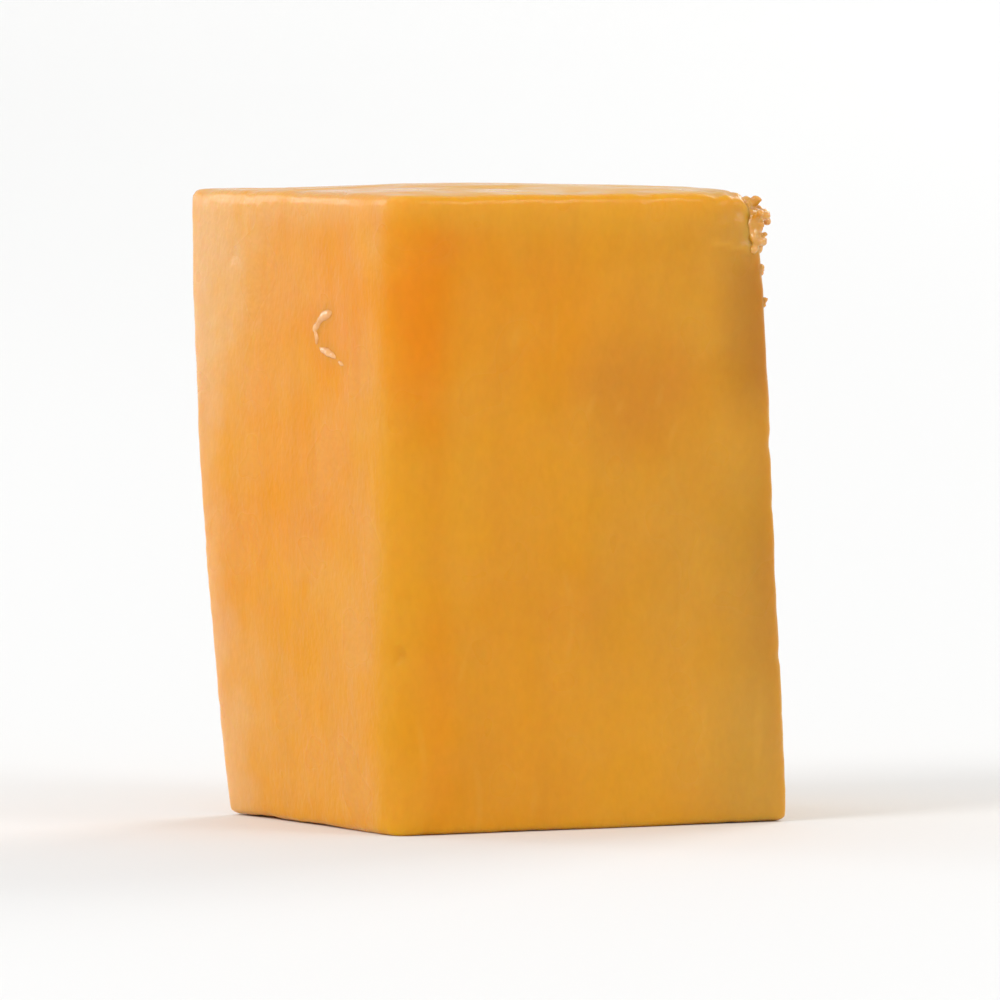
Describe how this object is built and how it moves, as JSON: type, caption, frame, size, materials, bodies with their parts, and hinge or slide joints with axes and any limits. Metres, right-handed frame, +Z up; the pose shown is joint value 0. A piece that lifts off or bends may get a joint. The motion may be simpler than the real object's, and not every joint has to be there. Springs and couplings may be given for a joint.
{
  "type": "papaya cube",
  "caption": "Hand-cut block of peeled and seeded ripe papaya flesh with soft, moist edges, resting on a flat cut face.",
  "frame": {"origin": "centre of the block's box on the face that it rests on", "axes": "+X out through the flesh, from the seed cavity side to the peeled side; +Y across the fruit, from the front cut to the back cut; +Z up along the fruit"},
  "size_m": [0.0318, 0.0292, 0.0419],
  "materials": {
    "flesh": "moist satin"
  },
  "bodies": {
    "root": {"papaya_cube": "flesh"}
  },
  "joints": []
}
